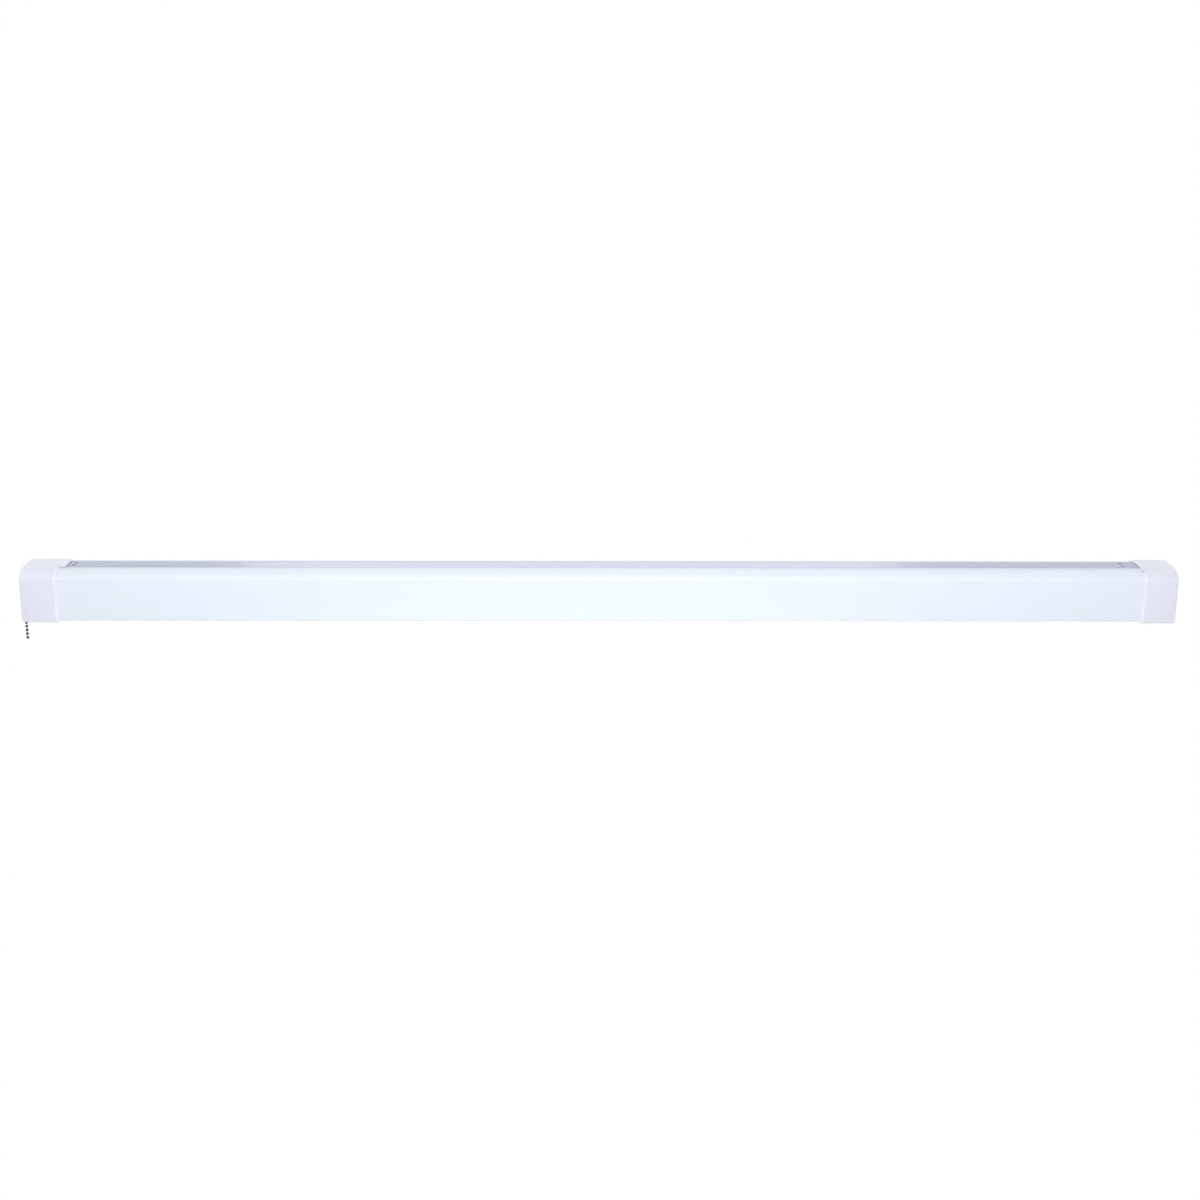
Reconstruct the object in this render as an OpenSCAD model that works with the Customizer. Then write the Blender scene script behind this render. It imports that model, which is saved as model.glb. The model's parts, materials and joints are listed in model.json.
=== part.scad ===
// Hanging shop light, four feet long, with a pull-chain switch in its left end cap.
// Millimetres. X runs along the lamp, -Y is the front, +Z is up.
// The origin lies on the top face of the housing, in the middle of the four hanger holes.

/* [Overall] */
// Length over the two end caps
overall_length = 1219; // [1150:1:1400]
// Width of the lamp body, without the caps
body_width = 61.5; // [61:0.5:72]
// Height of the lamp body, without the caps
body_height = 54.6; // [52:0.2:70]

/* [Body section] */
// Width of the strip between the two edges of the lens
top_width = 26; // [25.6:0.2:27]
// Width of the flat in the middle of the arched top
crown_flat = 15.6; // [15.4:0.2:18]
// How far the arched top comes down to the sides
shoulder_drop = 10.6; // [10:0.2:11.6]
// Radius of the two bottom edges of the lens
bottom_radius = 2.2; // [2:0.2:5]

/* [End caps] */
// Length of the left cap, which holds the switch
left_cap_length = 38.5; // [37.5:0.5:50]
// Length of the right cap, which holds the cord inlet
right_cap_length = 36; // [30:0.5:50]
// Wall of the sleeve that goes round the body
cap_wall = 1.5; // [1:0.1:3]
// Wall across the end of a cap
cap_end_wall = 2.5; // [2:0.1:3]
// Gap between the body and the sleeve
cap_clearance = 0.3; // [0.1:0.05:0.6]
// How far the body runs into a cap
cap_overlap = 11.5; // [8:0.5:12]
// Width of the step that stops the lens
cap_step = 0.8; // [0.5:0.1:1.4]
// How much narrower a cap is at its end than at its lip, on each side
cap_draft = 0.15; // [0:0.05:0.5]
// Radius of the outer edge round the end face
cap_edge_radius = 1.8; // [1.2:0.2:4]
// Radius of the two bottom edges of a cap
cap_corner_radius = 3.2; // [3:0.2:6]
// Length of the bevel round the lip of a cap
lip_bevel = 2.4; // [1:0.1:3]
// How far the bevel comes in at the lip
lip_bevel_depth = 0.9; // [0.3:0.1:0.9]
// How far the tongue of the left cap reaches past its lip, over the housing
tongue_length = 7; // [3:0.5:9]
// Half of the width of the tongue
tongue_half_width = 15.5; // [14:0.5:18]
// Width of the notch for levering off the right cap
notch_width = 2.6; // [2:0.1:4]
// Length of that notch, along the lamp
notch_length = 2.2; // [1.5:0.1:3]

/* [Lens] */
// Wall of the diffusing lens
lens_wall = 1.6; // [1.2:0.1:2]
// Height of the lip along each top edge of the lens
lens_lip = 2.4; // [2.3:0.1:3]
// Wall of the lip and of the hook that holds the lens
hook_wall = 1.5; // [1.2:0.1:2]
// How far the hook reaches under the flange of the housing
hook_reach = 1.5; // [1.2:0.1:1.9]
// Gap between the lens and what it slides on
slide_clearance = 0.25; // [0.1:0.05:0.3]

/* [Housing] */
// Wall of the extruded housing
housing_wall = 1.5; // [1.2:0.1:2]
// How far the flange runs out past the seam
flange_reach = 9.3; // [9:0.1:9.6]
// Depth of the housing from its top face to its foot
housing_depth = 25.2; // [24:0.2:28]
// Radius of the bore of the screw ports
port_bore_radius = 1.75; // [1.5:0.05:1.9]
// Wall of the screw ports
port_wall = 1.45; // [1.2:0.05:1.6]
// How far the screw ports lie below the top face
port_drop = 12; // [11:0.5:14]

/* [Hanger holes] */
// Distance between the pairs of hanger holes, along the lamp
hanger_spacing = 1116; // [800:1:1118]
// Distance between the two holes of a pair
hanger_width = 10; // [8:0.5:10]
// Radius of a hanger hole
hanger_hole_radius = 2.2; // [2:0.1:2.6]

/* [Tray and boards] */
// Width of the tray that carries the light sources
tray_width = 37.2; // [36:0.2:38]
// Thickness of the tray
tray_thickness = 1.2; // [0.8:0.1:1.5]
// Gap above and below the tray in its groove
tray_clearance = 0.1; // [0.05:0.05:0.2]
// Length of one board
board_length = 540; // [480:1:545]
// Width of one board
board_width = 24; // [20:0.5:28]
// Thickness of a board
board_thickness = 1.2; // [0.8:0.1:1.6]
// Distance from one light source to the next
source_pitch = 22.5; // [18:0.5:40]
// Distance between the two rows of light sources
source_row_gap = 14; // [10:0.5:18]

/* [Driver] */
// Length of the driver case without its ears
driver_length = 180; // [160:1:220]
// Width of the driver case
driver_width = 28; // [27:0.5:29]
// Height of the driver case
driver_height = 16; // [15.9:0.1:16.4]
// Distance of the driver's middle from the middle of the lamp
driver_x = 420; // [380:1:425]
// Sheet of the driver case
case_sheet = 0.8; // [0.5:0.1:1]

/* [Switch] */
// How far the middle of the switch lies below the top face
switch_drop = 28.2; // [27:0.2:32]
// How far the switch and its chain stand behind the middle of the cap
switch_shift = 5; // [0:0.5:5]
// Depth of the switch body, along the lamp
switch_depth = 19; // [18.5:0.5:19.5]
// Half of the width of the switch body
switch_half_width = 11; // [10:0.5:13]
// Wall of the switch body
switch_wall = 1.5; // [1.2:0.1:1.6]
// Radius of the threaded ferrule
ferrule_radius = 4.75; // [4.5:0.05:5.1]
// How far the ferrule stands out of the end cap
ferrule_stand = 1.45; // [1.4:0.05:3]
// Radius of the round nut behind the bell mouth
bell_nut_radius = 7; // [6.8:0.1:9]
// Length of the lever from its shaft to the chain
lever_length = 8; // [7.8:0.1:8.4]

/* [Pull chain] */
// Radius of a bead
bead_radius = 1.6; // [1.5:0.05:1.65]
// Wall of a hollow bead
bead_shell = 0.2; // [0.15:0.01:0.22]
// Distance from one bead to the next
chain_pitch = 4.2; // [4.1:0.05:4.4]
// Radius of the wire between two beads
rod_radius = 0.22; // [0.15:0.01:0.23]
// Number of beads that hang below the bell mouth
hanging_beads = 13; // [4:1:30]

/* [Cord inlet] */
// Radius of the way through the inlet bushing
inlet_bore_radius = 4.75; // [3:0.25:5.5]
// Wall of the bushing
bushing_wall = 1.5; // [1:0.1:2]

/* [Hidden] */
$fn = 48;

// Facets of the curved outlines
shoulder_steps = 12;
corner_steps = 4;
edge_steps = 4;
// A cut that runs past a face goes this far beyond it
beyond = 1;

// Places along the lamp
half_length = overall_length / 2;
body_left = -half_length + left_cap_length - cap_overlap;
body_right = half_length - right_cap_length + cap_overlap;
lens_end_gap = 0.3;

// Heights in the body section, all measured down from the top face
lip_bottom = -lens_wall - lens_lip;
flange_top = lip_bottom - slide_clearance;
flange_bottom = flange_top - housing_wall;
flange_edge = top_width / 2 + flange_reach;
web_outer = top_width / 2 - slide_clearance;
hook_inner = flange_edge + slide_clearance;
foot_top = flange_bottom - slide_clearance;
channel_half = tray_width / 2 + slide_clearance;
groove_rib = 2;
groove_rib_wall = 1.2;
tray_bottom = -housing_depth + groove_rib_wall + tray_clearance;
tray_top = tray_bottom + tray_thickness;
groove_roof = tray_top + tray_clearance;
port_radius = port_bore_radius + port_wall;
port_offset = 0.55;
port_y = channel_half + housing_wall + port_bore_radius + port_offset;
port_cut = 25;

// End cap
sleeve_inset = -cap_clearance;
cap_inset = -cap_clearance - cap_wall;
boss_radius = 5.4;
boss_hole_radius = 2.2;
boss_seat = 3;
screw_head_radius = 3.6;
screw_head_height = 2.4;
screw_head_clearance = 0.4;
screw_thread_gap = 0.03;
screw_grip = 12;
gusset_wall = 1.5;
cross_half = 1.9;
cross_sheet = 0.45;
cross_depth = 1.4;
tongue_inset = 0.1;
notch_y = -22;

// Tray, boards and their screws
tray_end_gap = 0.5;
board_gap = 2;
board_bottom = tray_bottom - board_thickness;
source_size = [3.5, 2.8, 0.8];
source_margin = 12;
board_screw_radius = 1.45;
board_hole_gap = 0.15;
board_screw_head = 2.8;
board_screw_head_height = 1.8;
screw_end_gap = 0.2;
screw_hole_gap = 0.05;
board_screw_places = [33.5, 271, 506];
connector_size = [10, 9, 3.6];
connector_inset = 6;
jumper_radius = 0.8;

// Driver
driver_left = driver_x - driver_length / 2;
driver_right = driver_x + driver_length / 2;
ear_length = 14;
standoff_height = 2.4;
standoff_radius = 1.8;
pcb_thickness = 1.6;
pcb_width = driver_width - 2 * case_sheet - 2;
pcb_length = driver_length - 2 * case_sheet - 6;
pcb_bottom = tray_top + case_sheet + standoff_height;
pcb_top = pcb_bottom + pcb_thickness;
terminal_size = [12, 16, 9];
terminal_inset = 6;
driver_screw_radius = 1.6;
driver_screw_head = 3;
driver_screw_head_height = 2;
// Lengths, widths and heights of what stands on the driver's board, and where along it
capacitor_radius = 5;
capacitor_span = [22, 47];
small_capacitor_radius = 4;
small_capacitor_span = [-56, -36];
small_capacitor_y = 4;
film_span = [-58, -42];
film_sides = [-9, -2.5];
film_height = 9;
core_half = [12, 10];
core_height = 9;
core_wall = 4;
core_leg = 4;
core_floor = 1.5;
winding_half = [7, 6.5];
winding_top = 9.6;
choke_x = -26;
choke_radius = 8;
choke_hole = 3.5;
choke_height = 7;
terminal_pitch = 4;
standoff_place = [pcb_length / 2 - 5, pcb_width / 2 - 3];

// Leads
lead_radius = 1.1;
lead_sides = 8;
lead_hole_gap = 0.15;
thin_lead_radius = 0.8;
lead_drop_x = 556;
lead_drop_radius = 3.5;
lead_y = 9;
clip_floor = 0.5;
lead_floor = tray_top + lead_radius + lead_hole_gap + clip_floor;
terminal_z = pcb_top + terminal_size[2] / 2;
ground_place = [570, 9];
ground_screw_tail = 1;
ring_radius = 3.6;
ring_wall = 0.8;
ring_gap = 0.5;
clip_places = [-450, -250, -50, 150];
clip_length = 8;
clip_wall = 1.2;
splice_place = [562, 6, -12];
splice_radius = 4;
splice_skirt = 4.6;
splice_tip = 3.2;
splice_length = 15;
splice_depth = 9;
side_lane = 16.7;
side_lane_z = groove_roof + groove_rib_wall + lead_radius + 0.3;

// Switch, from the inner face of the left end wall inwards
switch_z = -switch_drop;
switch_front = -half_length + cap_end_wall;
switch_back = switch_front + switch_depth;
switch_headroom = 7;
switch_footroom = 10.5;
switch_top = switch_z + switch_headroom;
switch_bottom = switch_z - lever_length - switch_footroom;
switch_cover_wall = 1.5;
ferrule_flange = 1;
ferrule_flange_radius = switch_headroom - switch_wall - 0.1;
washer_wall = 0.6;
washer_radius = 6.6;
bell_plate = 0.9;
bell_wall = 0.9;
bell_clearance = 0.3;
bell_setback = 0.1;
nut_grooves = 8;
nut_groove_radius = 0.6;
thread_gap = 0.05;
hole_gap = 0.1;

// The chain turns through a right angle over the bell mouth, in an arc two pitches long
bend_radius = 4 * chain_pitch / PI;
bend_step = 45;
bend_chord = 2 * bend_radius * sin(bend_step / 2);
bend_x = -half_length - ferrule_stand - bell_plate - bell_setback;
bend_z = switch_z - bend_radius;
chain_bore = bead_radius + bell_clearance;
head_radius = 0.58;
head_gap = 0.1;
head_inset = bead_radius - bead_shell - head_radius - head_gap;
link_length = chain_pitch - 2 * head_inset;
bead_hole_radius = head_radius - 0.02;
// The two links at the ends of the bend turn less than the bend, away from the line of the run.
// The holes that they pass through lie in the middle of what the link sweeps in each bead.
link_turn = 16;
hole_lead = link_turn / 2;
bend_hole_lead = link_turn * 2 / 3;
inner_beads = 4;

// Lever, shaft and rotor
travel = chain_pitch;
lever_tilt = asin(travel / 2 / lever_length);
shaft_radius = 1.5;
shaft_gap = 0.06;
shaft_x = bend_x + (inner_beads - 0.5) * chain_pitch - travel / 2;
shaft_z = switch_z - lever_length;
lever_sheet = 0.5;
lever_half_width = 2.2;
lever_hub_radius = 2.4;
lever_slot = 0.45;
lever_slot_depth = 0.7;
rotor_radius = 4;
rotor_front = 2.5;
rotor_wall = 3;
contact_sheet = 0.4;
contact_gap = 0.3;
rivet_radius = 1.2;
rivet_head = 2;
rivet_head_height = 0.5;
post_radius = 2.2;
rivet_low = [switch_front + switch_wall + 1.9, switch_bottom + switch_wall + 1.4];
rivet_high = [switch_back - switch_wall - 2.1, switch_top - switch_wall - 1.3];
blade_z = 2.4;
blade_height = 2;
blade_reach = 1.9;
tab_setback = 0.5;
tab_half = 1;
contact_half = [3.4, 2];
lead_entry_y = 5;

// ---------------------------------------------------------------------------
// Helpers

// Extrudes an outline drawn in Y and Z from start to finish along X
module along_x(start, finish) {
    translate([start, 0, 0])
        rotate([90, 0, 90])
            linear_extrude(height = finish - start)
                children();
}

// A round bar along X
module bar_x(start, finish, y, z, radius) {
    translate([start, y, z])
        rotate([0, 90, 0])
            cylinder(r = radius, h = finish - start);
}

// A round bar along Y
module bar_y(start, finish, x, z, radius) {
    translate([x, start, z])
        rotate([-90, 0, 0])
            cylinder(r = radius, h = finish - start);
}

// A block from its low corner to its high corner
module block(low, high) {
    translate(low)
        cube(high - low);
}

// What belongs to the switch stands behind the middle of the cap
module at_switch() {
    translate([0, switch_shift, 0])
        children();
}

// A turned piece: its outline gives the distance out along -X and the radius
module turned_out(x, z) {
    translate([x, 0, z])
        rotate([0, -90, 0])
            rotate_extrude()
                children();
}

function arc(y, z, across, up, from, to, steps) = [
    for (i = [0 : steps])
        let (a = from + (to - from) * i / steps)
            [y + across * cos(a), z + up * sin(a)]
];

// The outline of the body, moved in by an inset, with its own bottom radius
function section(inset, radius) =
    let (
        half = body_width / 2 - inset,
        bottom = -body_height + inset,
        across = half - crown_flat / 2,
        up = shoulder_drop - inset,
        round = max(radius, 0.3)
    )
    concat(
        arc(-crown_flat / 2, -inset - up, across, up, 90, 180, shoulder_steps),
        arc(-half + round, bottom + round, round, round, 180, 270, corner_steps),
        arc(half - round, bottom + round, round, round, 270, 360, corner_steps),
        arc(crown_flat / 2, -inset - up, across, up, 0, 90, shoulder_steps)
    );

// Unit vector, and the frame of a tube's ring at each point of its route
function unit(v) = v / norm(v);
function heading(route, i) =
    let (last = len(route) - 1)
    i == 0 ? unit(route[1] - route[0])
    : i == last ? unit(route[last] - route[last - 1])
    : unit(unit(route[i + 1] - route[i]) + unit(route[i] - route[i - 1]));
function sideways(way) = unit(cross(way, abs(way[1]) > 0.9 ? [1, 0, 0] : [0, 1, 0]));

// One ring of points round the route; at a corner it is stretched so that the tube keeps its width
function ring(route, i, radius, sides) =
    let (
        way = heading(route, i),
        before = i == 0 ? way : unit(route[i] - route[i - 1]),
        u = sideways(way),
        v = cross(way, u)
    )
    [for (k = [0 : sides - 1]) route[i] + radius * (u * cos(360 * k / sides) + v * sin(360 * k / sides))];

// A lead: one tube swept along the points of its route
module lead(route, radius, sides) {
    count = len(route);
    points = [for (i = [0 : count - 1]) each ring(route, i, radius, sides)];
    start = [for (k = [0 : sides - 1]) k];
    finish = [for (k = [0 : sides - 1]) count * sides - 1 - k];
    skin = [
        for (i = [0 : count - 2])
            for (k = [0 : sides - 1])
                let (n = (k + 1) % sides)
                    each [
                        [i * sides + k, (i + 1) * sides + k, (i + 1) * sides + n],
                        [i * sides + k, (i + 1) * sides + n, i * sides + n]
                    ]
    ];
    polyhedron(points = points, faces = concat([start], [finish], skin));
}

// ---------------------------------------------------------------------------
// Housing and lens

module housing_half() {
    // Web beside the seam, and flange below the edge of the lens
    translate([web_outer - housing_wall, flange_bottom])
        square([housing_wall, -flange_bottom - housing_wall / 2]);
    translate([web_outer - housing_wall, flange_bottom])
        square([flange_edge - web_outer + housing_wall, housing_wall]);
    // Side wall of the wiring channel, with the groove that takes the tray
    translate([channel_half, -housing_depth])
        square([housing_wall, housing_depth + flange_bottom + housing_wall / 2]);
    translate([channel_half - groove_rib, -housing_depth])
        square([groove_rib + housing_wall / 2, groove_rib_wall]);
    translate([channel_half - groove_rib, groove_roof])
        square([groove_rib + housing_wall / 2, groove_rib_wall]);
}

module housing_top() {
    // The strip follows the arch of the body between the two edges of the lens
    intersection() {
        difference() {
            polygon(section(0, bottom_radius));
            polygon(section(housing_wall, bottom_radius));
        }
        translate([-web_outer, -shoulder_drop])
            square([2 * web_outer, shoulder_drop + beyond]);
    }
}

module housing() {
    color("whitesmoke")
        difference() {
            union() {
                along_x(body_left, body_right) {
                    housing_top();
                    housing_half();
                    mirror([1, 0])
                        housing_half();
                }
                for (side = [-1, 1])
                    bar_x(body_left, body_right, side * port_y, -port_drop, port_radius);
            }
            // Screw ports, bored from both ends
            for (side = [-1, 1]) {
                bar_x(
                    body_left - beyond, body_left + port_cut,
                    side * port_y, -port_drop, port_bore_radius
                );
                bar_x(
                    body_right - port_cut, body_right + beyond,
                    side * port_y, -port_drop, port_bore_radius
                );
            }
            // Hanger holes
            for (x = [-1, 1] * hanger_spacing / 2, y = [-1, 1] * hanger_width / 2)
                translate([x, y, -housing_wall - beyond])
                    cylinder(r = hanger_hole_radius, h = housing_wall + 2 * beyond);
        }
}

module lens_hook() {
    // Lip that closes the seam, and hook round the edge of the flange, both grown out of the wall
    intersection() {
        polygon(section(lens_wall / 2, bottom_radius));
        union() {
            translate([top_width / 2, lip_bottom])
                square([hook_wall, -lip_bottom]);
            translate([hook_inner, foot_top - hook_wall])
                square([hook_wall, hook_wall - foot_top]);
            translate([hook_inner - hook_reach, foot_top - hook_wall])
                square([hook_reach + hook_wall / 2, hook_wall]);
        }
    }
}

module lens() {
    color("azure")
        along_x(body_left + lens_end_gap, body_right - lens_end_gap) {
            difference() {
                polygon(section(0, bottom_radius));
                polygon(section(lens_wall, bottom_radius - lens_wall));
                translate([-top_width / 2, -shoulder_drop])
                    square([top_width, shoulder_drop + beyond]);
            }
            lens_hook();
            mirror([1, 0])
                lens_hook();
        }
}

// ---------------------------------------------------------------------------
// End caps. A cap is drawn with its end face at X = 0 and its lip towards +X.

module cap_slice(x, inset) {
    along_x(x, x + 0.02)
        polygon(section(cap_inset + inset, cap_corner_radius));
}

module cap_block(length) {
    hull() {
        for (i = [0 : edge_steps]) {
            a = 90 * i / edge_steps;
            out = cap_edge_radius * (1 - cos(a));
            cap_slice(out, cap_draft + cap_edge_radius * (1 - sin(a)));
        }
        cap_slice(length - lip_bevel, 0);
        cap_slice(length - 0.02, lip_bevel_depth);
    }
}

module end_cap(length) {
    stop = length - cap_overlap;
    difference() {
        union() {
            difference() {
                cap_block(length);
                along_x(stop, length + beyond)
                    polygon(section(sleeve_inset, cap_corner_radius - cap_wall));
                along_x(cap_end_wall, stop + beyond)
                    polygon(section(cap_step, cap_corner_radius - cap_wall - cap_step));
            }
            for (side = [-1, 1]) {
                bar_x(cap_end_wall / 2, stop, side * port_y, -port_drop, boss_radius);
                gusset_y = side > 0 ? port_y : -body_width / 2 + cap_step / 2;
                block(
                    [cap_end_wall / 2, gusset_y, -port_drop - gusset_wall / 2],
                    [
                        stop - boss_seat,
                        gusset_y + body_width / 2 - port_y - cap_step / 2,
                        -port_drop + gusset_wall / 2
                    ]
                );
            }
        }
        for (side = [-1, 1]) {
            bar_x(-beyond, stop + beyond, side * port_y, -port_drop, boss_hole_radius);
            bar_x(
                -beyond, stop - boss_seat, side * port_y, -port_drop,
                screw_head_radius + screw_head_clearance
            );
        }
    }
}

module cap_tongue(length) {
    // A piece of the top wall that reaches past the lip and covers the ends of both seams
    along_x(length - lip_bevel - tongue_inset, length + tongue_length)
        intersection() {
            difference() {
                polygon(section(cap_inset + tongue_inset, cap_corner_radius));
                polygon(section(sleeve_inset - tongue_inset, cap_corner_radius - cap_wall));
            }
            translate([-tongue_half_width, -shoulder_drop])
                square([2 * tongue_half_width, shoulder_drop - cap_inset]);
        }
}

module left_end_cap() {
    color("ghostwhite")
        difference() {
            translate([-half_length, 0, 0]) {
                end_cap(left_cap_length);
                cap_tongue(left_cap_length);
            }
            bar_x(
                -half_length - beyond, switch_front + beyond,
                switch_shift, switch_z, ferrule_radius + 3 * hole_gap
            );
        }
}

module right_end_cap() {
    color("ghostwhite")
        difference() {
            mirror([1, 0, 0])
                translate([-half_length, 0, 0])
                    end_cap(right_cap_length);
            bar_x(
                half_length - cap_end_wall - beyond, half_length + beyond, 0, switch_z,
                inlet_bore_radius + bushing_wall + hole_gap
            );
            block(
                [half_length - right_cap_length - beyond, notch_y - notch_width / 2, -shoulder_drop],
                [half_length - right_cap_length + notch_length, notch_y + notch_width / 2, beyond]
            );
        }
}

module cap_screw() {
    // The head faces -X, with a cross recess, and its seat lies at X = 0
    difference() {
        union() {
            bar_x(-screw_head_height, 0, 0, 0, screw_head_radius);
            bar_x(-screw_head_height / 2, boss_seat + screw_grip, 0, 0, port_bore_radius - screw_thread_gap);
        }
        for (half = [[cross_half, cross_sheet], [cross_sheet, cross_half]])
            block(
                [-screw_head_height - beyond, -half[0], -half[1]],
                [-screw_head_height + cross_depth, half[0], half[1]]
            );
    }
}

module cap_screws() {
    color("silver")
        for (side = [-1, 1]) {
            translate([body_left - boss_seat, side * port_y, -port_drop])
                cap_screw();
            translate([body_right + boss_seat, side * port_y, -port_drop])
                mirror([1, 0, 0])
                    cap_screw();
        }
}

// ---------------------------------------------------------------------------
// Tray, boards and light sources

function board_starts() = [-board_gap / 2 - board_length, board_gap / 2];

module led_tray() {
    color("gainsboro")
        difference() {
            block(
                [body_left + tray_end_gap, -tray_width / 2, tray_bottom],
                [body_right - tray_end_gap, tray_width / 2, tray_top]
            );
            for (start = board_starts(), x = board_screw_places)
                translate([start + x, 0, tray_bottom - beyond])
                    cylinder(r = board_screw_radius + screw_hole_gap, h = tray_thickness + 2 * beyond);
            for (x = ear_places())
                translate([x, 0, tray_bottom - beyond])
                    cylinder(r = driver_screw_radius + screw_hole_gap, h = tray_thickness + 2 * beyond);
            translate([ground_place[0], ground_place[1], tray_bottom - beyond])
                cylinder(r = driver_screw_radius + screw_hole_gap, h = tray_thickness + 2 * beyond);
            translate([lead_drop_x, 0, tray_bottom - beyond])
                cylinder(r = lead_drop_radius, h = tray_thickness + 2 * beyond);
        }
}

module led_boards() {
    color("white")
        for (start = board_starts())
            difference() {
                block(
                    [start, -board_width / 2, board_bottom],
                    [start + board_length, board_width / 2, tray_bottom]
                );
                for (x = board_screw_places)
                    translate([start + x, 0, board_bottom - beyond])
                        cylinder(r = board_screw_radius + board_hole_gap, h = board_thickness + 2 * beyond);
            }
}

module light_sources() {
    count = floor((board_length - 2 * source_margin) / source_pitch);
    first = (board_length - count * source_pitch) / 2;
    color("khaki")
        for (start = board_starts(), i = [0 : count], row = [-1, 1])
            translate([
                start + first + i * source_pitch,
                row * source_row_gap / 2,
                board_bottom - source_size[2] / 2
            ])
                cube(source_size, center = true);
}

module board_screws() {
    color("silver")
        for (start = board_starts(), x = board_screw_places)
            translate([start + x, 0, board_bottom]) {
                translate([0, 0, -board_screw_head_height])
                    cylinder(r = board_screw_head, h = board_screw_head_height);
                translate([0, 0, -board_screw_head_height / 2])
                    cylinder(
                        r = board_screw_radius,
                        h = board_screw_head_height / 2 + board_thickness + tray_thickness - screw_end_gap
                    );
            }
}

// Middles of the connectors under the boards: two at the joint and one at the supply end
function connector_places() = [
    -board_gap / 2 - connector_inset,
    board_gap / 2 + connector_inset,
    board_gap / 2 + board_length - connector_inset
];

module board_connectors() {
    color("ivory")
        for (x = connector_places())
            difference() {
                block(
                    [x - connector_size[0] / 2, -connector_size[1] / 2, board_bottom - connector_size[2]],
                    [x + connector_size[0] / 2, connector_size[1] / 2, board_bottom]
                );
                for (y = [-2, 2])
                    bar_x(
                        x - connector_size[0] / 2 - beyond, x + connector_size[0] / 2 + beyond,
                        y, board_bottom - connector_size[2] / 2, jumper_radius + lead_hole_gap
                    );
            }
}

module board_jumpers() {
    color("white")
        for (y = [-2, 2])
            bar_x(
                connector_places()[0] - connector_size[0] / 4, connector_places()[1] + connector_size[0] / 4,
                y, board_bottom - connector_size[2] / 2, jumper_radius
            );
}

// ---------------------------------------------------------------------------
// Driver

function ear_places() = [driver_left - ear_length / 2, driver_right + ear_length / 2];

module driver_case() {
    color("silver")
        difference() {
            union() {
                block(
                    [driver_left - ear_length, -driver_width / 2, tray_top],
                    [driver_right + ear_length, driver_width / 2, tray_top + case_sheet]
                );
                for (side = [-1, 1]) {
                    wall_y = side > 0 ? driver_width / 2 - case_sheet : -driver_width / 2;
                    block(
                        [driver_left, wall_y, tray_top],
                        [driver_right, wall_y + case_sheet, tray_top + driver_height - case_sheet]
                    );
                }
                for (x = [-1, 1] * standoff_place[0], y = [-1, 1] * standoff_place[1])
                    translate([driver_x + x, y, tray_top + case_sheet / 2])
                        cylinder(r = standoff_radius, h = standoff_height + case_sheet / 2);
            }
            for (x = ear_places())
                translate([x, 0, tray_top - beyond])
                    cylinder(r = driver_screw_radius + board_hole_gap, h = case_sheet + 2 * beyond);
        }
}

module driver_lid() {
    lid_half = driver_width / 2 - case_sheet - hole_gap;
    color("gainsboro")
        difference() {
            union() {
                block(
                    [driver_left, -driver_width / 2, tray_top + driver_height - case_sheet],
                    [driver_right, driver_width / 2, tray_top + driver_height]
                );
                for (x = [driver_left, driver_right - case_sheet])
                    block(
                        [x, -lid_half, tray_top + case_sheet],
                        [x + case_sheet, lid_half, tray_top + driver_height - case_sheet / 2]
                    );
            }
            // Slots for the leads, open towards the case
            for (x = [driver_left, driver_right - case_sheet])
                block(
                    [x - beyond, -terminal_size[1] / 2 + 1, tray_top - beyond],
                    [x + case_sheet + beyond, terminal_size[1] / 2 - 1, pcb_top + terminal_size[2] - 2]
                );
        }
}

module driver_board() {
    color("seagreen")
        block(
            [driver_x - pcb_length / 2, -pcb_width / 2, pcb_bottom],
            [driver_x + pcb_length / 2, pcb_width / 2, pcb_top]
        );
}

module driver_capacitors() {
    color("darkslateblue") {
        // Two electrolytic capacitors that lie on the board, and a film capacitor
        bar_x(
            driver_x + capacitor_span[0], driver_x + capacitor_span[1],
            0, pcb_top + capacitor_radius, capacitor_radius
        );
        bar_x(
            driver_x + small_capacitor_span[0], driver_x + small_capacitor_span[1],
            small_capacitor_y, pcb_top + small_capacitor_radius, small_capacitor_radius
        );
        block(
            [driver_x + film_span[0], film_sides[0], pcb_top],
            [driver_x + film_span[1], film_sides[1], pcb_top + film_height]
        );
    }
}

module driver_transformer() {
    // An E core with its two windows open upwards, and the winding on its middle leg
    color("goldenrod") {
        difference() {
            block(
                [driver_x - core_half[0], -core_half[1], pcb_top],
                [driver_x + core_half[0], core_half[1], pcb_top + core_height]
            );
            for (low_y = [core_leg, -core_leg - core_wall])
                block(
                    [driver_x - core_half[0] + core_wall, low_y, pcb_top + core_floor],
                    [driver_x + core_half[0] - core_wall, low_y + core_wall, pcb_top + core_height + beyond]
                );
        }
        block(
            [driver_x - winding_half[0], -winding_half[1], pcb_top + core_floor + 1],
            [driver_x + winding_half[0], winding_half[1], pcb_top + winding_top]
        );
    }
}

module driver_choke() {
    color("darkred")
        translate([driver_x + choke_x, 0, pcb_top])
            difference() {
                cylinder(r = choke_radius, h = choke_height);
                translate([0, 0, -beyond])
                    cylinder(r = choke_hole, h = choke_height + 2 * beyond);
            }
}

module driver_terminals() {
    color("white")
        for (x = [driver_left + terminal_inset, driver_right - terminal_inset - terminal_size[0]])
            difference() {
                block(
                    [x, -terminal_size[1] / 2, pcb_top],
                    [x + terminal_size[0], terminal_size[1] / 2, pcb_top + terminal_size[2]]
                );
                for (i = [-1 : 1])
                    bar_x(
                        x - beyond, x + terminal_size[0] + beyond,
                        i * terminal_pitch, terminal_z, lead_radius + lead_hole_gap
                    );
            }
}

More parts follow.
